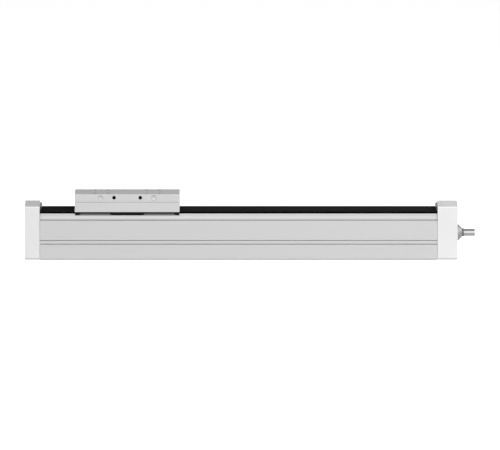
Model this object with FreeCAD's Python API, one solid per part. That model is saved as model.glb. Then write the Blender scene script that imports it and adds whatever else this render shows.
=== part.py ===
import FreeCAD, Part
import math
import os

V = FreeCAD.Vector

# Screw drive: the shaft axis, the screw and its nut
screw_height = 28.0            # shaft axis above the mounting face
screw_diameter = 16.0
nut_width = 27.0
nut_length = 40.0
nut_rise = 13.0                # top face of the nut above the shaft axis
nut_bore_gap = 0.3             # radial gap between screw and nut

# Guides: two miniature rails with two runner blocks each
rail_width = 7.0
rail_height = 6.0
rail_seat = 1.0                # depth of the groove each rail is pressed into
rail_lip = 1.0                 # shelf beside that groove, towards the screw
rail_fit = 0.01                # rail clearance in its groove, each side
rail_end_gap = 1.0
raceway_depth = 0.6
raceway_height = 1.6
runner_width = 17.0
runner_body_length = 21.0
runner_cap_length = 4.5
runner_underside = 1.2         # runner block above the rail shelf
runner_gap = 0.3               # runner block round the rail
runner_spacing = 80.0
runner_chamfer = 0.6
shelf_drop = 8.0               # rail shelf below the tops of nut and runner blocks

# Beam section
channel_gap = 0.5              # nut inside the screw channel
cavity_gap = 0.5               # runner blocks inside the beam
side_wall = 2.5
shoulder_wall = 3.5
neck_wall = 2.5
neck_gap = 0.5                 # saddle and webs inside the neck
relief_depth = 0.9             # groove at the foot of the neck
relief_height = 1.2
neck_flare = 0.4               # outward flare at the foot of the neck, above that groove
flare_height = 3.2
groove_rise = 17.5             # clamping groove along each side, above the mounting face
groove_height = 5.0
groove_depth = 0.6
slot_height = 0.8              # slots for clamp toes along both edges of that groove
slot_depth = 3.2
beam_edge = 1.4
hollow_wall = 3.0
beam_length = 456.0

# Carriage
carriage_length = 120.0
carriage_rest = 40.3           # carriage from the idle end block as drawn
saddle_thickness = 6.0
saddle_inset = 3.0             # saddle ends inside the carriage ends
web_thickness = 2.7
floor_thickness = 4.5
floor_gap = 2.3                # cover above the tunnel floor
roof_gap = 1.5                 # tunnel roof above the cover
flank_height = 9.1             # wide part of the carriage above the tunnel roof
table_height = 9.4             # narrow part of the carriage
table_step = 3.0
skirt_thickness = 1.3
skirt_gap = 0.4                # skirt and web beside the seal strip
skirt_drop = 1.6               # lower edge of the skirt below the flank underside
table_edge = 0.6
mount_radius = 2.1             # tapped hole for an M5 screw
mount_depth = 12.0
mount_inner_x = 44.0
mount_outer_x = 74.0
mount_y = 30.0
side_hole_spacing = 30.0       # tapped holes across the table
side_hole_drop = 4.3           # side holes below the table top
plug_radius = 3.0
plug_spacing = 61.0
plug_depth = 4.5               # pocket for a lubrication plug

# Cover and seals
cover_width = 37.6
cover_thickness = 1.2
cover_gap = 0.5                # cover beside the webs
cover_drop = 1.15              # top of the neck below the cover
cover_grip = 6.0               # cover held inside each end block
pocket_gap = 0.2
seal_height = 2.75
seal_inset = 0.2
seal_roof_gap = 0.7
wiper_thickness = 2.0
wiper_width = 36.0
wiper_height = 6.0
wiper_gap = 0.3

# End blocks and bearings
bearing_bore = 10.0
bearing_diameter = 30.0
drive_bearing_width = 14.0     # double-row bearing that holds the screw endways
idle_bearing_width = 9.0       # floating bearing
ring_gap = 0.3                 # running gap between inner ring and sealed outer ring
bearing_fit = 0.01             # radial clearance at bearing seats
drive_wall = 9.0
idle_recess = 1.0
idle_pocket = 3.5
idle_wall = 3.5
block_rim = 6.3                # end blocks above the cover
block_edge = 0.6
block_bevel = 0.3
block_foot_edge = 2.0
shaft_hole_gap = 0.8           # lock nut inside the drive block
flange_radius = 21.0           # motor flange holes round the shaft
flange_depth = 10.0
port_radius = 2.5              # cored ports for the end block screws
port_y = 22.0
port_low = 8.0
port_high = 26.0
buffer_thickness = 2.5
buffer_width = 40.0
buffer_lift = 0.6              # buffer above the cover
buffer_rim = 1.0               # buffer below the top of the block
buffer_bevel = 0.9
clamp_spacing = 30.0
clamp_inset = 4.0

# Shaft ends
journal_diameter = 8.0
journal_length = 20.0          # shaft beyond the drive block
journal_chamfer = 0.5
thread_radius = 4.75
thread_length = 7.5            # threaded end beyond the drive block
lock_nut_radius = 9.2
lock_nut_tip_radius = 5.0
lock_nut_rim = 0.9             # rim of the lock nut beyond the drive block, before its cone
lock_nut_fit = 0.05
shaft_end_gap = 0.7

# Fasteners: end block screws with sunk heads and headless cover clamp screws
block_screw = 5.0
head_ratio = 1.7               # head diameter to nominal diameter
head_gap = 0.3
clamp_screw = 4.0

# Widths that follow from the nut outwards
channel_half = nut_width / 2 + channel_gap
rail_y = channel_half + rail_lip + rail_width / 2
cavity_half = rail_y + runner_width / 2 + cavity_gap
beam_half = cavity_half + side_wall
cover_half = cover_width / 2
web_inner = cover_half + cover_gap
web_outer = web_inner + web_thickness
neck_inner = web_outer + neck_gap
neck_half = neck_inner + neck_wall
seal_outer = neck_half - seal_inset
skirt_inner = seal_outer + skirt_gap
flank_half = skirt_inner + skirt_thickness
table_half = flank_half - table_step

# Heights that follow from the shaft axis upwards
runner_top = screw_height + nut_rise
shelf_z = runner_top - shelf_drop
cavity_top = runner_top + cavity_gap
ledge_z = cavity_top + shoulder_wall
saddle_top = runner_top + saddle_thickness
floor_top = saddle_top + floor_thickness
cover_bottom = floor_top + floor_gap
cover_top = cover_bottom + cover_thickness
neck_top = cover_bottom - cover_drop
seal_top = neck_top + seal_height
flank_bottom = seal_top + seal_roof_gap
skirt_bottom = flank_bottom - skirt_drop
tunnel_roof = cover_top + roof_gap
flank_top = tunnel_roof + flank_height
table_top = flank_top + table_height
block_top = cover_top + block_rim

# Stations along the axis
beam_end = beam_length / 2
drive_thickness = drive_bearing_width + drive_wall
idle_thickness = idle_recess + idle_bearing_width + idle_pocket + idle_wall
drive_face = beam_end + drive_thickness
idle_face = -beam_end - idle_thickness
nut_face = beam_end + drive_bearing_width
idle_seat = -beam_end - idle_recess
idle_bearing_end = idle_seat - idle_bearing_width
shaft_tip = drive_face + journal_length
carriage_x = -beam_end + carriage_rest + carriage_length / 2
ports = [(y, z) for y in (-port_y, port_y) for z in (port_low, port_high)]
bearings = [(beam_end, nut_face), (idle_bearing_end, idle_seat)]
inner_ring = lock_nut_radius
mount_x = [carriage_x + end * span / 2 for span in (mount_inner_x, mount_outer_x) for end in (-1, 1)]
side_hole_x = [carriage_x + end * side_hole_spacing / 2 for end in (-1, 1)]
side_hole_z = table_top - side_hole_drop
plug_x = [carriage_x + end * plug_spacing / 2 for end in (-1, 1)]
runner_x = {"idle": carriage_x - runner_spacing / 2, "drive": carriage_x + runner_spacing / 2}
runner_y = {"front": -rail_y, "rear": rail_y}


def block(x0, x1, y0, y1, z0, z1):
    return Part.makeBox(x1 - x0, y1 - y0, z1 - z0, V(x0, y0, z0))


def rod_x(radius, x0, x1, y=0.0, z=screw_height):
    return Part.makeCylinder(radius, x1 - x0, V(x0, y, z), V(1, 0, 0))


def rod_y(radius, y0, y1, x, z):
    return Part.makeCylinder(radius, y1 - y0, V(x, y0, z), V(0, 1, 0))


def rod_z(radius, z0, z1, x, y):
    return Part.makeCylinder(radius, z1 - z0, V(x, y, z0))


def ring_x(inner, outer, x0, x1):
    return rod_x(outer, x0, x1).cut(rod_x(inner, x0, x1))


def section(corners, x0, x1):
    """Extrudes along X a closed outline of (y, z, radius) corners, each rounded to its radius."""
    points = [V(x0, y, z) for y, z, _ in corners]
    edges = []
    joins = []
    for i, (_, _, radius) in enumerate(corners):
        here = points[i]
        back = (points[i - 1] - here).normalize()
        ahead = (points[(i + 1) % len(points)] - here).normalize()
        half_angle = back.getAngle(ahead) / 2
        reach = radius / math.tan(half_angle)
        start = here + back * reach
        end = here + ahead * reach
        if radius > 0:
            bisector = (back + ahead).normalize()
            middle = here + bisector * (radius / math.sin(half_angle) - radius)
            joins.append((start, end, Part.Arc(start, middle, end).toShape()))
        else:
            joins.append((here, here, None))
    for i, (_, end, arc) in enumerate(joins):
        if arc:
            edges.append(arc)
        following = joins[(i + 1) % len(joins)][0]
        if end.distanceToPoint(following) > 1e-6:
            edges.append(Part.makeLine(end, following))
    return Part.Face(Part.Wire(edges)).extrude(V(x1 - x0, 0, 0))


def mirrored(half):
    """Completes a half outline, given from the middle of one side to the other, across the XZ plane."""
    return half + [(-y, z, radius) for y, z, radius in reversed(half)]


def turned(profile):
    """Revolves (x, radius) points about the shaft axis."""
    points = [V(x, 0, screw_height + radius) for x, radius in profile]
    face = Part.Face(Part.makePolygon(points + points[:1]))
    return face.revolve(V(0, 0, screw_height), V(1, 0, 0), 360)


def placed(shape, seat, direction):
    """Turns a shape made along +Z to a direction and moves its origin to the seat."""
    shape.Placement = FreeCAD.Placement(seat, FreeCAD.Rotation(V(0, 0, 1), direction))
    return shape


def bevelled(shape, x, size):
    """Chamfers the outline of the face that lies at one station along X."""
    rim = [edge for edge in shape.Edges if all(abs(v.X - x) < 1e-6 for v in edge.Vertexes)]
    return shape.makeChamfer(size, rim)


def head_hole(seat, direction, size, length):
    """Counterbore and clearance hole for a screw whose head is sunk below the face."""
    depth = size + head_gap
    bore = Part.makeCylinder(size * head_ratio / 2 + head_gap, depth, V(0, 0, -depth))
    hole = Part.makeCylinder(size / 2 + head_gap / 2, length)
    return placed(bore.fuse(hole), seat, direction)


def save(name, solids):
    shape = solids[0] if len(solids) == 1 else Part.makeCompound(solids)
    shape.exportStep("parts/" + name + ".step")


def base_profile():
    groove_top = groove_rise + groove_height
    seat_half = rail_width / 2 + rail_fit
    half = [
        (beam_half, 0, beam_edge),
        (beam_half, groove_rise, 0),
        (beam_half - slot_depth, groove_rise, 0),
        (beam_half - slot_depth, groove_rise + slot_height, 0),
        (beam_half - groove_depth, groove_rise + slot_height, 0),
        (beam_half - groove_depth, groove_top - slot_height, 0),
        (beam_half - slot_depth, groove_top - slot_height, 0),
        (beam_half - slot_depth, groove_top, 0),
        (beam_half, groove_top, 0),
        (beam_half, ledge_z, beam_edge / 2),
        (neck_half - relief_depth, ledge_z, 0),
        (neck_half - relief_depth, ledge_z + relief_height, 0),
        (neck_half + neck_flare, ledge_z + relief_height, 0),
        (neck_half, ledge_z + relief_height + flare_height, 0),
        (neck_half, neck_top, 0),
        (neck_inner, neck_top, 0),
        (neck_inner, cavity_top, 0),
        (cavity_half, cavity_top, 0),
        (cavity_half, shelf_z, 0),
        (rail_y + seat_half, shelf_z, 0),
        (rail_y + seat_half, shelf_z - rail_seat, 0),
        (rail_y - seat_half, shelf_z - rail_seat, 0),
        (rail_y - seat_half, shelf_z, 0),
        (channel_half, shelf_z, 0),
        (channel_half, screw_height - channel_half, channel_half),
    ]
    beam = section(mirrored(half), -beam_end, beam_end)
    hollow_in = channel_half + hollow_wall
    hollow_out = beam_half - slot_depth - hollow_wall
    hollow_low = port_low + port_radius + hollow_wall / 2
    hollow_high = port_high - port_radius - hollow_wall / 2
    centre_half = channel_half - hollow_wall
    centre_top = screw_height - channel_half - hollow_wall
    cuts = [rod_x(port_radius, -beam_end, beam_end, y, z) for y, z in ports]
    for y0, y1 in ((hollow_in, hollow_out), (-hollow_out, -hollow_in)):
        cuts.append(block(-beam_end, beam_end, y0, y1, hollow_low, hollow_high))
    cuts.append(block(-beam_end, beam_end, -centre_half, centre_half, hollow_wall, centre_top))
    return beam.cut(cuts)


def blank_block(inner, outer):
    """End block before drilling, bevelled along the outline of its outer face."""
    half = [(beam_half, 0, block_foot_edge), (beam_half, block_top, block_edge)]
    blank = section(mirrored(half), min(inner, outer), max(inner, outer))
    return bevelled(blank, outer, block_bevel)


def shared_cuts(inner, outer):
    """Cover pocket, clamp screw holes and screw holes that both end blocks have."""
    out = V(1, 0, 0) if outer > inner else V(-1, 0, 0)
    grip = inner + out.x * (cover_grip + pocket_gap)
    cuts = [block(min(inner, grip), max(inner, grip), -cover_half - pocket_gap, cover_half + pocket_gap,
                  cover_bottom, cover_top + pocket_gap)]
    clamp_x = inner + out.x * clamp_inset
    for y in (-clamp_spacing / 2, clamp_spacing / 2):
        cuts.append(rod_z(clamp_screw / 2, cover_top, block_top, clamp_x, y))
    for y, z in ports:
        seat = V(outer - out.x * (block_screw + head_gap), y, z)
        cuts.append(head_hole(seat, out * -1, block_screw, abs(outer - inner)))
    return cuts


def drive_end_block():
    seat = bearing_diameter / 2 + bearing_fit
    cuts = shared_cuts(beam_end, drive_face)
    cuts.append(rod_x(seat, beam_end, nut_face))
    cuts.append(rod_x(lock_nut_radius + shaft_hole_gap, nut_face, drive_face))
    reach = flange_radius / math.sqrt(2)
    for y in (-reach, reach):
        for z in (screw_height - reach, screw_height + reach):
            cuts.append(rod_x(mount_radius, drive_face - flange_depth, drive_face, y, z))
    return blank_block(beam_end, drive_face).cut(cuts)


def idle_end_block():
    cuts = shared_cuts(-beam_end, idle_face)
    cuts.append(rod_x(bearing_diameter / 2 + bearing_fit, idle_bearing_end, -beam_end))
    cuts.append(rod_x(bearing_bore, idle_bearing_end - idle_pocket, idle_bearing_end))
    return blank_block(-beam_end, idle_face).cut(cuts)


def guide_rail(side):
    low = shelf_z - rail_seat
    middle = shelf_z + (rail_height - rail_seat) / 2
    half_race = raceway_height / 2
    half = rail_width / 2
    right = [
        (half, low, 0),
        (half, middle - half_race, 0),
        (half - raceway_depth, middle - half_race / 2, 0),
        (half - raceway_depth, middle + half_race / 2, 0),
        (half, middle + half_race, 0),
        (half, low + rail_height, 0),
    ]
    outline = [(y + side * rail_y, z, radius) for y, z, radius in mirrored(right)]
    reach = beam_end - rail_end_gap
    return section(outline, -reach, reach)


def top_cover():
    reach = beam_end + cover_grip
    return block(-reach, reach, -cover_half, cover_half, cover_bottom, cover_top)


def seal_strip(side):
    corners = [(neck_inner, neck_top, 0), (seal_outer, neck_top, 0),
               (seal_outer, seal_top, seal_inset), (neck_inner, seal_top, seal_inset)]
    return section([(side * y, z, radius) for y, z, radius in corners], -beam_end, beam_end)


def end_buffer(end):
    """Rubber stop bonded to the inner face of an end block."""
    face = end * beam_end
    front = face - end * buffer_thickness
    low = cover_top + buffer_lift
    high = block_top - buffer_rim
    pad = block(min(face, front), max(face, front), -buffer_width / 2, buffer_width / 2, low, high)
    return bevelled(pad, front, buffer_bevel)


def bearing_outer_rings():
    return [ring_x(inner_ring + ring_gap, bearing_diameter / 2, x0, x1) for x0, x1 in bearings]


def bearing_inner_rings():
    return [ring_x(bearing_bore / 2, inner_ring, x0, x1) for x0, x1 in bearings]


def ball_screw():
    seat = bearing_bore / 2 - bearing_fit
    journal = journal_diameter / 2
    thread_end = drive_face + thread_length
    idle_tip = idle_bearing_end - idle_pocket + shaft_end_gap
    return turned([
        (idle_tip, 0),
        (idle_tip, seat),
        (idle_seat, seat),
        (idle_seat, screw_diameter / 2),
        (beam_end, screw_diameter / 2),
        (beam_end, seat),
        (nut_face, seat),
        (nut_face, thread_radius),
        (thread_end, thread_radius),
        (thread_end, journal),
        (shaft_tip - journal_chamfer, journal),
        (shaft_tip, journal - journal_chamfer),
        (shaft_tip, 0),
    ])


def lock_nut():
    bore = thread_radius + lock_nut_fit
    cone_x = drive_face + lock_nut_rim
    tip_x = cone_x + lock_nut_radius - lock_nut_tip_radius
    return turned([(nut_face, bore), (nut_face, lock_nut_radius), (cone_x, lock_nut_radius),
                   (tip_x, lock_nut_tip_radius), (tip_x, bore)])


def carriage_body():
    half = [
        (table_half, table_top, table_edge),
        (table_half, flank_top, 0),
        (flank_half, flank_top, table_edge),
        (flank_half, skirt_bottom, 0),
        (skirt_inner, skirt_bottom, 0),
        (skirt_inner, flank_bottom, 0),
        (web_outer, flank_bottom, 0),
        (web_outer, saddle_top, 0),
    ]
    x0 = carriage_x - carriage_length / 2
    x1 = carriage_x + carriage_length / 2
    body = section(mirrored(half), x0, x1)
    cuts = [block(x0, x1, -web_inner, web_inner, floor_top, tunnel_roof)]
    for x in (x0, x1 - wiper_thickness):
        cuts.append(block(x, x + wiper_thickness, -wiper_width / 2, wiper_width / 2,
                          tunnel_roof, tunnel_roof + wiper_height))
    for x in mount_x:
        for y in (-mount_y / 2, mount_y / 2):
            cuts.append(rod_z(mount_radius, table_top - mount_depth, table_top, x, y))
    for x in side_hole_x:
        cuts.append(rod_y(mount_radius, -table_half, table_half, x, side_hole_z))
    for x in plug_x:
        cuts.append(rod_y(plug_radius, -table_half, plug_depth - table_half, x, side_hole_z))
        cuts.append(rod_y(plug_radius, table_half - plug_depth, table_half, x, side_hole_z))
    return body.cut(cuts)


def carriage_saddle():
    reach = carriage_length / 2 - saddle_inset
    return block(carriage_x - reach, carriage_x + reach, -web_outer, web_outer, runner_top, saddle_top)


def runner_section(x0, x1, y, trim, gap):
    """Runner outline with its rail channel, trimmed all round for the end caps."""
    outer = runner_width / 2 - trim
    inner = rail_width / 2 + gap
    low = shelf_z + runner_underside + trim
    high = runner_top - trim
    roof = shelf_z - rail_seat + rail_height + gap
    half = [(outer - runner_chamfer, high, 0), (outer, high - runner_chamfer, 0), (outer, low, 0),
            (inner, low, 0), (inner, roof, 0)]
    return section([(y + dy, z, radius) for dy, z, radius in mirrored(half)], x0, x1)


def runner_block(end, side):
    x0 = runner_x[end] - runner_body_length / 2
    return runner_section(x0, x0 + runner_body_length, runner_y[side], 0, runner_gap)


def runner_end_caps():
    caps = []
    for x in runner_x.values():
        for y in runner_y.values():
            for start in (x - runner_body_length / 2 - runner_cap_length, x + runner_body_length / 2):
                caps.append(runner_section(start, start + runner_cap_length, y, runner_gap, 2 * runner_gap))
    return caps


def ball_nut():
    half = nut_width / 2
    x0 = carriage_x - nut_length / 2
    x1 = carriage_x + nut_length / 2
    body = section(mirrored([(half, runner_top, table_edge), (half, screw_height - half, half)]), x0, x1)
    return body.cut(rod_x(screw_diameter / 2 + nut_bore_gap, x0, x1))


def cover_wiper(end):
    """Wiper plate in the end of the carriage, its lip just above the cover."""
    face = carriage_x + end * carriage_length / 2
    back = face - end * wiper_thickness
    return block(min(face, back), max(face, back), -wiper_width / 2, wiper_width / 2,
                 cover_top + wiper_gap, tunnel_roof + wiper_height)


os.makedirs("parts", exist_ok=True)
save("base_profile", [base_profile()])
save("drive_end_block", [drive_end_block()])
save("idle_end_block", [idle_end_block()])
save("guide_rail_front", [guide_rail(-1)])
save("guide_rail_rear", [guide_rail(1)])
save("top_cover", [top_cover()])
save("seal_strip_front", [seal_strip(-1)])
save("seal_strip_rear", [seal_strip(1)])
save("buffer_idle", [end_buffer(-1)])
save("buffer_drive", [end_buffer(1)])
save("bearing_outer_rings", bearing_outer_rings())
save("bearing_inner_rings", bearing_inner_rings())
save("ball_screw", [ball_screw()])
save("lock_nut", [lock_nut()])
save("carriage_body", [carriage_body()])
save("carriage_saddle", [carriage_saddle()])
for run_end in runner_x:
    for run_side in runner_y:
        save("runner_block_" + run_side + "_" + run_end, [runner_block(run_end, run_side)])
save("runner_end_caps", runner_end_caps())
save("ball_nut", [ball_nut()])
save("cover_wiper_idle", [cover_wiper(-1)])
save("cover_wiper_drive", [cover_wiper(1)])
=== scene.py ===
from math import radians, sin, cos, tau
import bmesh
import bpy
import numpy as np
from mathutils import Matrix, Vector


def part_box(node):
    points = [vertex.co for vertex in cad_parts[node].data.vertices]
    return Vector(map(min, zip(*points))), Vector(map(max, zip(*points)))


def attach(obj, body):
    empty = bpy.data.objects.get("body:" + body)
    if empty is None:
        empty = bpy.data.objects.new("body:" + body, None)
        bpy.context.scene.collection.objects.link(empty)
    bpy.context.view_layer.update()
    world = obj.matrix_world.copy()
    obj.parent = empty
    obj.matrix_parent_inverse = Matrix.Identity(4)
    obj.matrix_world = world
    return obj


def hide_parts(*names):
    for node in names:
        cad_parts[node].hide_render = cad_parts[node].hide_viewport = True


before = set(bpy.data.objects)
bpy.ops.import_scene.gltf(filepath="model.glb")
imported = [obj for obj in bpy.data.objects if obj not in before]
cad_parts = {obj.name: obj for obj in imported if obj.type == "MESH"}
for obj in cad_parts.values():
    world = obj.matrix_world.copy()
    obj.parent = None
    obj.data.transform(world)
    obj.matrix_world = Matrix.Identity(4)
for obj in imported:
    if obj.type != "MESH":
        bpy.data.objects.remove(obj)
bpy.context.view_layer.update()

# The beam is one aluminium extrusion, sawn to length and clear anodised: a broad foot with a clamping groove
# along each side, a narrower neck, and an open channel for screw, rails and nut. The die leaves its edges
# slightly rounded and fine lines along its faces, and painted shade darkens the edges that it stands on.
mm = 0.001


def size_of(node):
    """Lower and upper corner of a CAD node's box, in millimetres."""
    low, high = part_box(node)
    return np.array(low) / mm, np.array(high) / mm


def rounded_outline(corners, steps):
    """Closed outline from (y, z, radius) corners in millimetres. Each corner's arc has its centre on the
    corner's bisector, and its points are the first spoke turned evenly towards the last."""
    table = np.array(corners, float)
    here, radius = table[:, :2], table[:, 2:]
    back = np.roll(here, 1, axis=0) - here
    ahead = np.roll(here, -1, axis=0) - here
    back /= np.linalg.norm(back, axis=1, keepdims=True)
    ahead /= np.linalg.norm(ahead, axis=1, keepdims=True)
    half = np.arccos((back * ahead).sum(axis=1, keepdims=True)) / 2
    bisector = (back + ahead) / np.linalg.norm(back + ahead, axis=1, keepdims=True)
    centre = here + bisector * radius / np.sin(half)
    first = (here + back * radius / np.tan(half) - centre)[:, None]
    last = (here + ahead * radius / np.tan(half) - centre)[:, None]
    sweep = (np.pi - 2 * half)[:, None]
    share = np.linspace(0, 1, steps)[None, :, None]
    arcs = (np.sin((1 - share) * sweep) * first + np.sin(share * sweep) * last) / np.sin(sweep)
    return (centre[:, None] + arcs).reshape(-1, 2)


def both_sides(half):
    """The corners of half a section, followed by their mirror images across the XZ plane in reverse order."""
    return half + [(-y, z, radius) for y, z, radius in reversed(half)]


def skin(name, rings, bored=False):
    """Closed skin over rows of points, in millimetres, that each form a ring: four-sided faces join
    neighbouring rings. The first and the last ring are filled flat, or joined to each other where a bore
    goes right through. Edges that bend by more than the crease angle stay sharp."""
    crease = radians(40)
    rows, count = rings.shape[:2]
    index = np.arange(rows * count).reshape(rows, count)
    caps = [index[0].tolist(), index[-1].tolist()]
    if bored:
        index = np.vstack([index, index[:1]])
        caps = []
    turn = np.roll(index, -1, axis=1)
    sides = np.stack([index[:-1], turn[:-1], turn[1:], index[1:]], axis=2).reshape(-1, 4)
    mesh = bpy.data.meshes.new(name)
    mesh.from_pydata((rings.reshape(-1, 3) * mm).tolist(), [], sides.tolist() + caps)
    shell = bmesh.new()
    shell.from_mesh(mesh)
    bmesh.ops.recalc_face_normals(shell, faces=shell.faces)
    shell.to_mesh(mesh)
    shell.free()
    mesh.polygons.foreach_set("use_smooth", np.ones(len(mesh.polygons), bool))
    mesh.set_sharp_from_angle(angle=crease)
    piece = bpy.data.objects.new(name, mesh)
    bpy.context.scene.collection.objects.link(piece)
    even = piece.modifiers.new("even_shading", "WEIGHTED_NORMAL")
    even.keep_sharp = True
    return piece


def extruded(name, outline, x0, x1):
    """The outline carried straight along X: the same ring of (y, z) points at both ends."""
    rings = np.empty((2, len(outline), 3))
    rings[..., 0] = [[x0], [x1]]
    rings[..., 1:] = outline
    return skin(name, rings)


def plain_finish(name, level, roughness, metallic, specular):
    """A grey finish that is the same all over."""
    material = bpy.data.materials.new(name)
    material.use_nodes = True
    shader = material.node_tree.nodes["Principled BSDF"]
    shader.inputs["Base Color"].default_value = (level, level, level, 1)
    shader.inputs["Roughness"].default_value = roughness
    shader.inputs["Metallic"].default_value = metallic
    shader.inputs["Specular IOR Level"].default_value = specular
    return material


def grained_finish(name, dark, light, grain, depth, roughness, metallic, specular):
    """A grey finish with a grain: noise with a scale of its own along each axis, which draws it out into
    lines where one scale is low. It mixes the dark and the light grey, moves the roughness up to a tenth
    either way and lifts the surface by up to a quarter of the depth, given in millimetres."""
    grain_detail = 3.0
    gloss_spread = 0.1
    lift_share = 0.25
    material = plain_finish(name, (dark + light) / 2, roughness, metallic, specular)
    tree = material.node_tree
    shader = tree.nodes["Principled BSDF"]
    place = tree.nodes.new("ShaderNodeTexCoord")
    scale = tree.nodes.new("ShaderNodeMapping")
    scale.inputs["Scale"].default_value = grain
    noise = tree.nodes.new("ShaderNodeTexNoise")
    noise.inputs["Scale"].default_value = 1.0
    noise.inputs["Detail"].default_value = grain_detail
    shade = tree.nodes.new("ShaderNodeMix")
    shade.data_type = "RGBA"
    shade.inputs["A"].default_value = (dark, dark, dark, 1)
    shade.inputs["B"].default_value = (light, light, light, 1)
    gloss = tree.nodes.new("ShaderNodeMapRange")
    gloss.inputs["To Min"].default_value = (1 - gloss_spread) * roughness
    gloss.inputs["To Max"].default_value = min((1 + gloss_spread) * roughness, 1.0)
    lift = tree.nodes.new("ShaderNodeBump")
    lift.inputs["Strength"].default_value = lift_share
    lift.inputs["Distance"].default_value = depth * mm
    tree.links.new(place.outputs["Object"], scale.inputs["Vector"])
    tree.links.new(scale.outputs["Vector"], noise.inputs["Vector"])
    tree.links.new(noise.outputs["Fac"], shade.inputs["Factor"])
    tree.links.new(noise.outputs["Fac"], gloss.inputs["Value"])
    tree.links.new(noise.outputs["Fac"], lift.inputs["Height"])
    tree.links.new(shade.outputs["Result"], shader.inputs["Base Color"])
    tree.links.new(gloss.outputs["Result"], shader.inputs["Roughness"])
    tree.links.new(lift.outputs["Normal"], shader.inputs["Normal"])
    return material


def edge_tone(material, y, z, near, far, share):
    """Paints shade or light into a grained finish along a line parallel to X at (y, z), and along its mirror
    image at -y: darker for a share below one, lighter above it. The colour is that share of itself within the
    near distance of the line, and back to its plain colour at the far one. Lengths are in millimetres."""
    tree = material.node_tree
    shader = tree.nodes["Principled BSDF"]
    colour = shader.inputs["Base Color"].links[0].from_socket
    place = tree.nodes.new("ShaderNodeTexCoord")
    folded = tree.nodes.new("ShaderNodeVectorMath")
    folded.operation = "ABSOLUTE"
    across = tree.nodes.new("ShaderNodeVectorMath")
    across.operation = "MULTIPLY"
    across.inputs[1].default_value = (0, 1, 1)
    reach = tree.nodes.new("ShaderNodeVectorMath")
    reach.operation = "DISTANCE"
    reach.inputs[1].default_value = (0, y * mm, z * mm)
    rise = tree.nodes.new("ShaderNodeMapRange")
    rise.inputs["From Min"].default_value = near * mm
    rise.inputs["From Max"].default_value = far * mm
    rise.inputs["To Min"].default_value = share
    shade = tree.nodes.new("ShaderNodeMix")
    shade.data_type = "RGBA"
    shade.blend_type = "MULTIPLY"
    shade.inputs["Factor"].default_value = 1.0
    tree.links.new(place.outputs["Object"], folded.inputs[0])
    tree.links.new(folded.outputs["Vector"], across.inputs[0])
    tree.links.new(across.outputs["Vector"], reach.inputs[0])
    tree.links.new(reach.outputs["Value"], rise.inputs["Value"])
    tree.links.new(colour, shade.inputs["A"])
    tree.links.new(rise.outputs["Result"], shade.inputs["B"])
    tree.links.new(shade.outputs["Result"], shader.inputs["Base Color"])


def fit(piece, finish, body):
    """Gives a new piece its finish in a material slot, and the body that it moves with."""
    piece.data.materials.append(finish)
    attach(piece, body)


beam_low, beam_high = size_of("base_profile")
rail_low, rail_high = size_of("guide_rail_rear")
beam_end = beam_high[0]
end_joint = 0.25
foot_half = beam_high[1]
foot_edge = 0.5
shoulder = 45.0
shoulder_edge = 0.7
groove_low = 17.5
groove_high = 22.5
groove_depth = 0.6
groove_half = foot_half - groove_depth
slot_height = 0.8
slot_depth = 3.2
slot_half = foot_half - slot_depth
relief_half = 24.1
relief_top = 46.2
flare_half = 25.4
flare_top = 49.4
flare_bend = 6.0
neck_half = 25.0
neck_inner = size_of("seal_strip_rear")[0][1]
neck_top = beam_high[2]
cavity_half = 27.5
cavity_top = 41.5
rail_shelf = 33.0
rail_fit = 0.01
rail_inner = rail_low[1] - rail_fit
rail_outer = rail_high[1] + rail_fit
rail_floor = rail_low[2]
channel_half = 14.0
channel_floor = 14.0
sharp = 0.1
eased = 0.2
corner_steps = 9
beam_section = both_sides([
    (foot_half, 0.0, foot_edge),
    (foot_half, groove_low, eased),
    (slot_half, groove_low, sharp),
    (slot_half, groove_low + slot_height, sharp),
    (groove_half, groove_low + slot_height, sharp),
    (groove_half, groove_high - slot_height, sharp),
    (slot_half, groove_high - slot_height, sharp),
    (slot_half, groove_high, sharp),
    (foot_half, groove_high, eased),
    (foot_half, shoulder, shoulder_edge),
    (relief_half, shoulder, eased),
    (relief_half, relief_top, eased),
    (flare_half, relief_top, eased),
    (neck_half, flare_top, flare_bend),
    (neck_half, neck_top, eased),
    (neck_inner, neck_top, eased),
    (neck_inner, cavity_top, eased),
    (cavity_half, cavity_top, eased),
    (cavity_half, rail_shelf, eased),
    (rail_outer, rail_shelf, sharp),
    (rail_outer, rail_floor, sharp),
    (rail_inner, rail_floor, sharp),
    (rail_inner, rail_shelf, sharp),
    (channel_half, rail_shelf, eased),
    (channel_half, channel_floor, channel_half - sharp),
])
beam_finish = grained_finish("beam_anodised", dark=0.51, light=0.55, grain=(2, 900, 900), depth=0.03,
                             roughness=0.42, metallic=0.2, specular=0.15)
# Painted shade: the colour goes to black along the foot's edges, as a shadow where the beam meets the floor.
edge_tone(beam_finish, foot_half, 0.0, near=0.4, far=0.8, share=0.0)
beam_outline = rounded_outline(beam_section, corner_steps)
beam = extruded("beam", beam_outline, beam_low[0] + end_joint, beam_end - end_joint)
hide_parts("base_profile")
fit(beam, beam_finish, "base")

# Two guide rails of hardened steel, ground bright along their running sides, carry the runner blocks. They
# are pressed into seats along the beam's inner shelves.
rail_finish = grained_finish("rail_ground_steel", dark=0.46, light=0.54, grain=(2, 1500, 1500), depth=0.02,
                             roughness=0.22, metallic=1.0, specular=0.5)


def coat(node, finish):
    """Gives a CAD node one finish all over."""
    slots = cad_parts[node].data.materials
    slots.clear()
    slots.append(finish)


for rail in ("guide_rail_front", "guide_rail_rear"):
    coat(rail, rail_finish)
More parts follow.
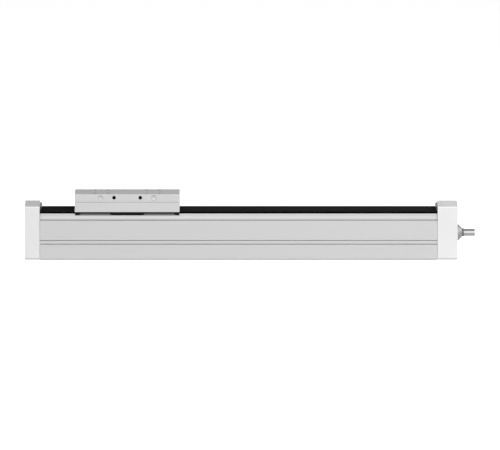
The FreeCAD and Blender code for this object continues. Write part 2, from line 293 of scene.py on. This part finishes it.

# The end blocks are machined aluminium with a fine light grey coating, with a painted highlight along the
# upper edges and painted shade along the foot. Each stands against the beam's sawn end and carries a bearing.
# Four socket screws in sunk holes draw it up to the beam's screw ports.
drive_block_high = size_of("drive_end_block")[1]
idle_block_low = size_of("idle_end_block")[0]
block_top = drive_block_high[2]
highlight_drop = 0.8
block_finish = grained_finish("block_coating", dark=0.805, light=0.835, grain=(900, 900, 900), depth=0.03,
                              roughness=0.5, metallic=0.0, specular=0.06)
# Painted shade: the colour darkens to two thirds along the foot's edges.
edge_tone(block_finish, foot_half, 0.0, near=0.9, far=1.8, share=0.66)
# Painted highlight: the colour is paler along the upper front and rear edges.
edge_tone(block_finish, foot_half, block_top - highlight_drop, near=0.5, far=0.9, share=1.12)
for end_block in ("drive_end_block", "idle_end_block"):
    coat(end_block, block_finish)


def socket_turning(name, stations, seat, direction, round_steps=48, bored=False):
    """A turned piece round an axis, with or without a six-sided socket. Each station is (distance along the
    axis, radius, hex): at hex 0 the ring is a circle, and at hex 1 its radius is the half width over the
    cosine of the angle from the nearest flat's middle."""
    table = np.array(stations, float)
    angle = np.linspace(0, tau, round_steps, endpoint=False)
    flat = 1 / np.cos((angle + np.pi / 6) % (np.pi / 3) - np.pi / 6)
    radius = table[:, 1:2] * (1 + table[:, 2:] * (flat - 1))
    axis = Vector(direction).normalized()
    side = axis.orthogonal().normalized()
    across = np.array(axis.cross(side))
    spokes = np.cos(angle)[:, None] * np.array(side) + np.sin(angle)[:, None] * across
    rings = np.array(seat) + table[:, 0, None, None] * np.array(axis) + radius[..., None] * spokes
    return skin(name, rings, bored)


ends = {"drive": 1, "idle": -1}
hands = {"front": -1, "rear": 1}
block_faces = {"drive": drive_block_high[0], "idle": idle_block_low[0]}
port_y = 22.0
port_heights = {"low": 8.0, "high": 26.0}
shank_radius = 2.4
shank_length = 21.0
shank_bevel = 0.6
head_radius = 4.25
head_height = 5.0
head_bevel = 0.4
head_fillet = 0.2
head_sunk = 0.3
key_half = 2.0
key_bevel = 0.2
key_depth = 2.8
key_point = 1.0
key_tip = 0.2
head_screw = [
    (-shank_length, shank_radius - shank_bevel, 0),
    (-shank_length + shank_bevel, shank_radius, 0),
    (-head_fillet, shank_radius, 0),
    (0.0, shank_radius + head_fillet, 0),
    (0.0, head_radius - head_fillet, 0),
    (head_fillet, head_radius, 0),
    (head_height - head_bevel, head_radius, 0),
    (head_height, head_radius - head_bevel, 0),
    (head_height, key_half + key_bevel, 1),
    (head_height - key_bevel, key_half, 1),
    (head_height - key_depth, key_half, 1),
    (head_height - key_depth - key_point, key_tip, 0),
]
screw_finish = grained_finish("screw_blackened_steel", dark=0.045, light=0.075, grain=(600, 600, 600),
                              depth=0.02, roughness=0.38, metallic=0.9, specular=0.4)
for end, out in ends.items():
    seat_x = block_faces[end] - out * (head_height + head_sunk)
    for row, height in port_heights.items():
        for hand, side in hands.items():
            block_screw = socket_turning(f"block_screw_{end}_{row}_{hand}", head_screw,
                                         (seat_x, side * port_y, height), (out, 0, 0))
            fit(block_screw, screw_finish, "base")

# Sealed ball bearings sit in both end blocks, a double-row one at the drive end that holds the screw endways.
# Their rings are hardened steel, turned and ground, and pressed into bored seats.
bearing_finish = grained_finish("bearing_ground_steel", dark=0.46, light=0.54, grain=(2500, 60, 60),
                                depth=0.01, roughness=0.25, metallic=1.0, specular=0.5)
for bearing_rings in ("bearing_outer_rings", "bearing_inner_rings"):
    coat(bearing_rings, bearing_finish)

# The ball screw is a hardened shaft with one right-hand ball track, turned down to its bearing seats, a fine
# thread for the lock nut and a ground drive journal. It turns in the two bearings.
shaft_low, shaft_high = size_of("ball_screw")
shaft_radius = shaft_high[1]
shaft_axis = (shaft_low[2] + shaft_high[2]) / 2


def grooved_shaft(name, stations, angle_steps):
    """Shaft round the screw axis. A station is (x, radius, track depth, pitch): the radius is lowered by the
    depth times a rounded hollow, two fifths of the pitch wide, that follows the helix where x over the pitch
    less the angle's share of a turn is whole and a half."""
    half_width = 0.2
    x, radius, depth, pitch = np.array(stations, float).T[..., None]
    angle = np.linspace(0, tau, angle_steps, endpoint=False)
    phase = (x / pitch - angle / tau) % 1 - 0.5
    hollow = np.sqrt(np.clip(1 - (phase / half_width) ** 2, 0, 1))
    reach = radius - depth * hollow
    along = np.broadcast_to(x, reach.shape)
    return skin(name, np.stack([along, reach * np.cos(angle), shaft_axis + reach * np.sin(angle)], axis=2))


def along_shaft(x0, x1, spacing, radius, depth, pitch):
    """Evenly spaced stations of one radius, track depth and pitch."""
    steps = round((x1 - x0) / spacing) + 1
    return [(x, radius, depth, pitch) for x in np.linspace(x0, x1, steps)]


def step_down(x, *radii):
    """Plain stations without a track, each a (shift, radius) from one place: a shoulder or a short bevel."""
    return [(x + shift, radius, 0, 1) for shift, radius in radii]


def dull_rim(finish, share):
    """Lowers a metal finish's shine where it is seen at a glancing angle, to a share of the plain shine."""
    shader = finish.node_tree.nodes["Principled BSDF"]
    shader.inputs["Specular Tint"].default_value = (share, share, share, 1)


shaft_steps = 48
bevel = 0.5
idle_recess = 1.0
idle_seat = -beam_end - idle_recess
seat_radius = 4.99
seat_end = 242.0
track_margin = 2.5
track_reach = beam_end - track_margin
track_depth = 1.4
track_lead = 10.0
track_spacing = track_lead / 16
thread_radius = 4.75
thread_relief = 0.6
thread_start = seat_end + thread_relief
thread_end = 258.5
thread_depth = 0.35
thread_pitch = 0.75
thread_spacing = thread_pitch / 6
journal_radius = 4.0
shaft_stations = (
    step_down(shaft_low[0], (0, seat_radius - bevel), (bevel, seat_radius))
    + step_down(idle_seat, (0, seat_radius), (0, shaft_radius - bevel), (bevel, shaft_radius))
    + along_shaft(-track_reach, track_reach, track_spacing, shaft_radius, track_depth, track_lead)
    + step_down(beam_end, (-bevel, shaft_radius), (0, shaft_radius - bevel), (0, seat_radius))
    + step_down(seat_end, (0, seat_radius), (0, thread_radius - bevel))
    + along_shaft(thread_start, thread_end - bevel, thread_spacing, thread_radius, thread_depth, thread_pitch)
    + step_down(thread_end, (0, thread_radius - bevel), (0, journal_radius))
    + step_down(shaft_high[0], (-bevel, journal_radius), (0, journal_radius - bevel))
)
shaft_finish = grained_finish("shaft_ground_steel", dark=0.26, light=0.3, grain=(2500, 60, 60), depth=0.01,
                              roughness=0.2, metallic=1.0, specular=0.5)
thread_finish = grained_finish("shaft_thread_steel", dark=0.15, light=0.21, grain=(900, 900, 900), depth=0.01,
                               roughness=0.35, metallic=1.0, specular=0.4)
dull_rim(shaft_finish, share=0.15)
shaft = grooved_shaft("screw_shaft", shaft_stations, shaft_steps)
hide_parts("ball_screw")
fit(shaft, shaft_finish, "screw")
shaft.data.materials.append(thread_finish)
middles = np.empty(len(shaft.data.polygons) * 3)
shaft.data.polygons.foreach_get("center", middles)
face_x = middles[::3] / mm
face_margin = 0.01
threaded = (face_x > seat_end + face_margin) & (face_x < thread_end - face_margin)
shaft.data.polygons.foreach_set("material_index", threaded.astype(np.int32))

# The lock nut is turned from steel, with a conical nose and a fine thread in its bore. It is screwed on the
# shaft up to the drive bearing and clamps its inner ring.
nut_low, nut_high = size_of("lock_nut")
nut_radius = nut_high[1]
nut_length = nut_high[0] - nut_low[0]
nut_bore = 4.8
nut_edge = 0.2
tip_radius = 5.0
cone_start = nut_length - (nut_radius - tip_radius)
nut_turning = [
    (0.0, nut_bore, 0),
    (0.0, nut_radius - nut_edge, 0),
    (nut_edge, nut_radius, 0),
    (cone_start - nut_edge / 2, nut_radius, 0),
    (cone_start + nut_edge / 2, nut_radius - nut_edge / 2, 0),
    (nut_length, tip_radius, 0),
    (nut_length, nut_bore, 0),
]
nut_finish = grained_finish("lock_nut_steel", dark=0.24, light=0.28, grain=(2500, 60, 60), depth=0.01,
                            roughness=0.35, metallic=1.0, specular=0.5)
dull_rim(nut_finish, share=0.4)
lock_nut = socket_turning("shaft_lock_nut", nut_turning, (nut_low[0], 0, shaft_axis), (1, 0, 0),
                          round_steps=96, bored=True)
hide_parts("lock_nut")
fit(lock_nut, nut_finish, "screw")

# The ball nut is a ground steel block with the screw's track in its bore. It hangs under the saddle and is
# screwed to it from above.
coat("ball_nut", bearing_finish)

# Four runner blocks of ground steel ride on the rails and carry the saddle. Black moulded caps, in which the
# balls turn back, close both ends of each block.
cap_finish = grained_finish("runner_cap_plastic", dark=0.015, light=0.025, grain=(1200, 1200, 1200),
                            depth=0.03, roughness=0.5, metallic=0.0, specular=0.4)
for hand in hands:
    for end in ends:
        coat(f"runner_block_{hand}_{end}", bearing_finish)
coat("runner_end_caps", cap_finish)

# The carriage is milled from aluminium and clear anodised: a saddle plate on the runner blocks, two webs past
# the cover's edges and a table with tapped holes above it. Four steel plugs, each with a spherical hollow for
# the grease gun, are pressed into the lubrication ports in its sides.
table_finish = grained_finish("carriage_anodised", dark=0.54, light=0.57, grain=(6, 900, 900), depth=0.03,
                              roughness=0.42, metallic=0.18, specular=0.02)
for carriage_node in ("carriage_saddle", "carriage_body"):
    coat(carriage_node, table_finish)
carriage_low, carriage_high = size_of("carriage_body")
carriage_x = (carriage_low[0] + carriage_high[0]) / 2
carriage_reach = (carriage_high[0] - carriage_low[0]) / 2
table_top = carriage_high[2]
table_half = 23.5
side_hole_drop = 4.3
side_height = table_top - side_hole_drop
plug_reach = 30.5
plug_radius = 2.9
plug_length = 4.4
plug_sunk = 0.05
plug_bevel = 0.15
plug_rim = 0.3
hollow_radius = plug_radius - plug_rim
hollow_curve = 6.5
hollow_steps = 7
valve_radius = 0.6
valve_depth = 0.4
hollow_rings = np.linspace(hollow_radius, valve_radius, hollow_steps)
hollow_dip = np.sqrt(hollow_curve ** 2 - hollow_rings ** 2) - np.sqrt(hollow_curve ** 2 - hollow_radius ** 2)
lubrication_plug = [
    (-plug_length, plug_radius - plug_bevel, 0),
    (-plug_length + plug_bevel, plug_radius, 0),
    (-plug_sunk - plug_bevel, plug_radius, 0),
    (-plug_sunk, plug_radius - plug_bevel, 0),
    *[(-plug_sunk - dip, radius, 0) for dip, radius in zip(hollow_dip, hollow_rings)],
    (-plug_sunk - hollow_dip[-1] - valve_depth, valve_radius, 0),
]
plug_finish = grained_finish("plug_satin_steel", dark=0.46, light=0.5, grain=(900, 900, 900), depth=0.01,
                             roughness=0.4, metallic=0.3, specular=0.2)
for hand, side in hands.items():
    for end, out in ends.items():
        mouth = (carriage_x + out * plug_reach, side * table_half, side_height)
        plug = socket_turning(f"lubrication_plug_{hand}_{end}", lubrication_plug, mouth, (0, side, 0))
        fit(plug, plug_finish, "carriage")

# Every tapped hole of the table and of the drive block's motor face has a thread insert, screwed in until it
# lies just below the surface. Its near-black colour is painted shade for the dark inside of the hole.
insert_radius = 2.07
insert_bore = 1.75
insert_length = 8.0
insert_sunk = 0.15
insert_bevel = 0.2
thread_insert = [
    (-insert_length, insert_radius, 0),
    (-insert_sunk, insert_radius, 0),
    (-insert_sunk, insert_bore + insert_bevel, 0),
    (-insert_sunk - 2 * insert_bevel, insert_bore, 0),
    (-insert_length + insert_bevel, insert_bore, 0),
]
table_hole_x = (-37.0, -22.0, 22.0, 37.0)
table_hole_y = 15.0
side_hole_x = 15.0
flange_radius = 21.0
flange_reach = flange_radius / np.sqrt(2)
# The inserts' near-black colour is painted shade, standing in for the dark inside of the holes.
insert_finish = grained_finish("insert_painted_hole_shade", dark=0.004, light=0.008, grain=(900, 900, 900),
                               depth=0.01, roughness=0.6, metallic=0.0, specular=0.05)


def fit_insert(place, mouth, direction, body):
    """Sets one insert into the hole with its mouth there and its axis pointing out in that direction."""
    insert = socket_turning(f"thread_insert_{place}", thread_insert, mouth, direction, round_steps=32)
    fit(insert, insert_finish, body)


for hand, side in hands.items():
    for number, x in enumerate(table_hole_x):
        mouth = (carriage_x + x, side * table_hole_y, table_top)
        fit_insert(f"table_{hand}_{number}", mouth, (0, 0, 1), "carriage")
    for end, out in ends.items():
        mouth = (carriage_x + out * side_hole_x, side * table_half, side_height)
        fit_insert(f"side_{hand}_{end}", mouth, (0, side, 0), "carriage")
    for row, up in (("low", -1), ("high", 1)):
        mouth = (block_faces["drive"], side * flange_reach, shaft_axis + up * flange_reach)
        fit_insert(f"motor_{hand}_{row}", mouth, (1, 0, 0), "base")

# Seals close the gap between the carriage's lower edges and the neck. A felt strip is glued under each edge,
# and a moulded black lip in front of it reaches down at the middle and at both ends. The felt's colour holds
# painted shade: nearly black under the carriage's edge, fading to its own grey lower down.
skirt_inner = 25.2
skirt_bottom = 54.5
felt_gap = 0.05
felt_start = skirt_inner + felt_gap
felt_thickness = 0.5
felt_foot = 50.5
lip_start = felt_start + felt_thickness
lip_thickness = 0.7
lip_foot = 53.6
lip_drop = 2.7
lip_middle = 19.5
lip_end = 5.0
lip_inset = 1.1
lip_fade = 0.5
lip_stations = 241
strip_bevel = 0.3


def hanging_strip(name, x, side, inner, thickness, foot):
    """A strip along X from the skirt's lower edge to a lower edge given as a height for each x. Its section
    has five points: inner top, outer top, the two ends of the cut that takes off the outer lower corner as
    far as the middle of the foot, and inner foot."""
    wide = side * (inner + thickness * np.array([0.0, 1.0, 1.0, 0.5, 0.0]))
    top = np.full_like(x, skirt_bottom)
    height = np.stack([top, top, foot + strip_bevel, foot, foot], axis=1)
    along = np.broadcast_to(x[:, None], height.shape)
    return skin(name, np.stack([along, np.broadcast_to(wide, height.shape), height], axis=2))


def soft_step(distance):
    """One well before a place and nothing well past it, along the logistic curve of the lip's fade."""
    return 1 / (1 + np.exp(distance / lip_fade))


felt_finish = grained_finish("felt_painted_shade", dark=0.22, light=0.3, grain=(600, 2000, 2000), depth=0.2,
                             roughness=1.0, metallic=0.0, specular=0.0)
# Painted shade: the felt is nearly black under the skirt's edge and back to its own grey about 4 mm lower.
edge_tone(felt_finish, felt_start, skirt_bottom, near=1.1, far=4.1, share=0.04)
lip_finish = grained_finish("lip_rubber", dark=0.009, light=0.015, grain=(1200, 1200, 1200), depth=0.03,
                            roughness=0.8, metallic=0.0, specular=0.0)
felt_x = np.array([-carriage_reach, carriage_reach])
felt_edge = np.full_like(felt_x, felt_foot)
lip_reach = carriage_reach - lip_inset
lip_x = np.linspace(-lip_reach, lip_reach, lip_stations)
in_middle = soft_step(np.abs(lip_x) - lip_middle)
at_ends = soft_step(lip_reach - lip_end - np.abs(lip_x))
lip_edge = lip_foot - lip_drop * (in_middle + at_ends)
for hand, side in hands.items():
    felt = hanging_strip(f"carriage_felt_{hand}", carriage_x + felt_x, side, felt_start, felt_thickness,
                         felt_edge)
    fit(felt, felt_finish, "carriage")
    lip = hanging_strip(f"carriage_lip_{hand}", carriage_x + lip_x, side, lip_start, lip_thickness, lip_edge)
    fit(lip, lip_finish, "carriage")

# Wipers of black moulded plastic close the carriage's ends over the cover. They are pushed into pockets of
# the carriage and reach down to just above the cover.
wiper_finish = grained_finish("wiper_plastic", dark=0.015, light=0.025, grain=(1200, 1200, 1200), depth=0.03,
                              roughness=0.5, metallic=0.0, specular=0.2)
for wiper in ("cover_wiper_idle", "cover_wiper_drive"):
    coat(wiper, wiper_finish)

# The cover is a strip of aluminium painted dull black. It lies in pockets of both end blocks and is held
# there by headless socket screws from above.
cover_finish = grained_finish("cover_dull_black", dark=0.024, light=0.03, grain=(30, 700, 700), depth=0.03,
                              roughness=0.9, metallic=0.0, specular=0.0)
coat("top_cover", cover_finish)
cover_top = size_of("top_cover")[1][2]
clamp_inset = 4.0
clamp_x = beam_end + clamp_inset
clamp_y = 15.0
clamp_radius = 1.9
clamp_bevel = 0.3
clamp_height = 5.5
clamp_key = 1.0
clamp_key_bevel = 0.1
clamp_key_depth = 2.3
clamp_key_point = 0.5
clamp_screw = [
    (0.0, clamp_radius - clamp_bevel, 0),
    (clamp_bevel, clamp_radius, 0),
    (clamp_height - clamp_bevel, clamp_radius, 0),
    (clamp_height, clamp_radius - clamp_bevel, 0),
    (clamp_height, clamp_key + clamp_key_bevel, 1),
    (clamp_height - clamp_key_bevel, clamp_key, 1),
    (clamp_height - clamp_key_depth, clamp_key, 1),
    (clamp_height - clamp_key_depth - clamp_key_point, key_tip, 0),
]
for end, out in ends.items():
    for hand, side in hands.items():
        clamp = socket_turning(f"cover_clamp_screw_{end}_{hand}", clamp_screw,
                               (out * clamp_x, side * clamp_y, cover_top), (0, 0, 1))
        fit(clamp, screw_finish, "base")

# Strips of soft black rubber lie along both tops of the neck. They are glued on and close the gap beside the
# carriage's webs, and a painted reflection makes their upper edges a little paler.
seal_finish = grained_finish("seal_rubber", dark=0.0015, light=0.0025, grain=(1200, 1200, 1200), depth=0.03,
                             roughness=0.9, metallic=0.0, specular=0.0)
seal_high = size_of("seal_strip_rear")[1]
# Painted reflection: the upper edges are paler, as a sheen of the bright surround seen at a glancing angle.
edge_tone(seal_finish, seal_high[1], seal_high[2], near=0.4, far=0.9, share=9.0)
for seal in ("seal_strip_front", "seal_strip_rear"):
    coat(seal, seal_finish)

# Bevelled pads of black rubber stop the carriage softly. They are bonded to the end blocks' inner faces, just
# above the cover.
buffer_finish = grained_finish("buffer_rubber", dark=0.012, light=0.018, grain=(1200, 1200, 1200), depth=0.03,
                               roughness=0.4, metallic=0.0, specular=0.5)
for buffer in ("buffer_idle", "buffer_drive"):
    coat(buffer, buffer_finish)

# A pale studio: a wide white floor that keeps the shadow, a white surround, a large soft light on the
# camera's side, a weaker one behind, and two small ones above and beside the drive end. The camera stands far
# off with a long lens, slightly above the axis.
scene = bpy.context.scene
scene.view_settings.view_transform = "Standard"
white = (1, 1, 1, 1)


def seen_directly(tree, unseen, seen):
    """A strength for light: one where the ray comes from the camera, a mirror-like bounce or glass, and
    another for light on its way to the object."""
    path = tree.nodes.new("ShaderNodeLightPath")
    mirror = tree.nodes.new("ShaderNodeMath")
    mirror.operation = "MAXIMUM"
    direct = tree.nodes.new("ShaderNodeMath")
    direct.operation = "MAXIMUM"
    strength = tree.nodes.new("ShaderNodeMapRange")
    strength.inputs["To Min"].default_value = unseen
    strength.inputs["To Max"].default_value = seen
    tree.links.new(path.outputs["Is Camera Ray"], mirror.inputs[0])
    tree.links.new(path.outputs["Is Glossy Ray"], mirror.inputs[1])
    tree.links.new(mirror.outputs[0], direct.inputs[0])
    tree.links.new(path.outputs["Is Transmission Ray"], direct.inputs[1])
    tree.links.new(direct.outputs[0], strength.inputs["Value"])
    return strength.outputs["Result"]


world = bpy.data.worlds.new("studio_surround")
scene.world = world
world.use_nodes = True
sky = world.node_tree
surround = sky.nodes["Background"]
surround.inputs["Color"].default_value = white
sky.links.new(seen_directly(sky, unseen=0.18, seen=1.0), surround.inputs["Strength"])

floor_reach = 40.0
floor_height = -0.0002
floor_signs = ((-1, -1), (1, -1), (1, 1), (-1, 1))
floor_corners = [(x * floor_reach, y * floor_reach, floor_height) for x, y in floor_signs]
floor_mesh = bpy.data.meshes.new("studio_floor")
floor_mesh.from_pydata(floor_corners, [], [(0, 1, 2, 3)])
floor = bpy.data.objects.new("studio_floor", floor_mesh)
scene.collection.objects.link(floor)
floor_finish = plain_finish("floor_white", level=0.85, roughness=0.9, metallic=0.0, specular=0.0)
floor_tree = floor_finish.node_tree
floor_shader = floor_tree.nodes["Principled BSDF"]
floor_shader.inputs["Emission Color"].default_value = white
floor_glow = seen_directly(floor_tree, unseen=0.0, seen=0.82)
floor_tree.links.new(floor_glow, floor_shader.inputs["Emission Strength"])
floor_mesh.materials.append(floor_finish)


def soft_light(name, place, aim, width, height, power, mirrored):
    """A rectangular lamp at one place, in metres, turned towards another. Metal shows it only if mirrored."""
    lamp = bpy.data.lights.new(name, "AREA")
    lamp.shape = "RECTANGLE"
    lamp.size = width
    lamp.size_y = height
    lamp.energy = power
    stand = bpy.data.objects.new(name, lamp)
    stand.location = place
    stand.rotation_mode = "QUATERNION"
    stand.rotation_quaternion = (Vector(aim) - Vector(place)).to_track_quat("-Z", "Y")
    stand.visible_camera = False
    stand.visible_glossy = mirrored
    scene.collection.objects.link(stand)


beam_middle = (0.0, 0.0, 0.04)
drive_block_top = (0.2, 0.0, 0.06)
soft_light("front_light", (0.12, -1.95, 0.6), beam_middle, width=3.2, height=1.6, power=45.0, mirrored=True)
soft_light("back_light", (-0.3, 2.0, 0.3), beam_middle, width=2.0, height=0.5, power=14.0, mirrored=False)
soft_light("top_light", (0.55, 0.1, 0.6), drive_block_top, width=0.4, height=0.4, power=1.1, mirrored=True)
soft_light("side_light", (0.85, 0.2, 0.2), drive_block_top, width=0.5, height=0.4, power=1.25, mirrored=True)

camera_aim = Vector((0.013, 0.0, 0.0364))
camera_rise = radians(6.9)
camera_distance = 20.0
frame_width = 0.5736
lens = bpy.data.cameras.new("camera")
lens.sensor_width = 36.0
lens.lens = lens.sensor_width * camera_distance / frame_width
lens.clip_start = 1.0
lens.clip_end = 100.0
camera = bpy.data.objects.new("camera", lens)
camera.location = camera_aim + camera_distance * Vector((0, -cos(camera_rise), sin(camera_rise)))
camera.rotation_euler = (radians(90) - camera_rise, 0, 0)
scene.collection.objects.link(camera)
scene.camera = camera
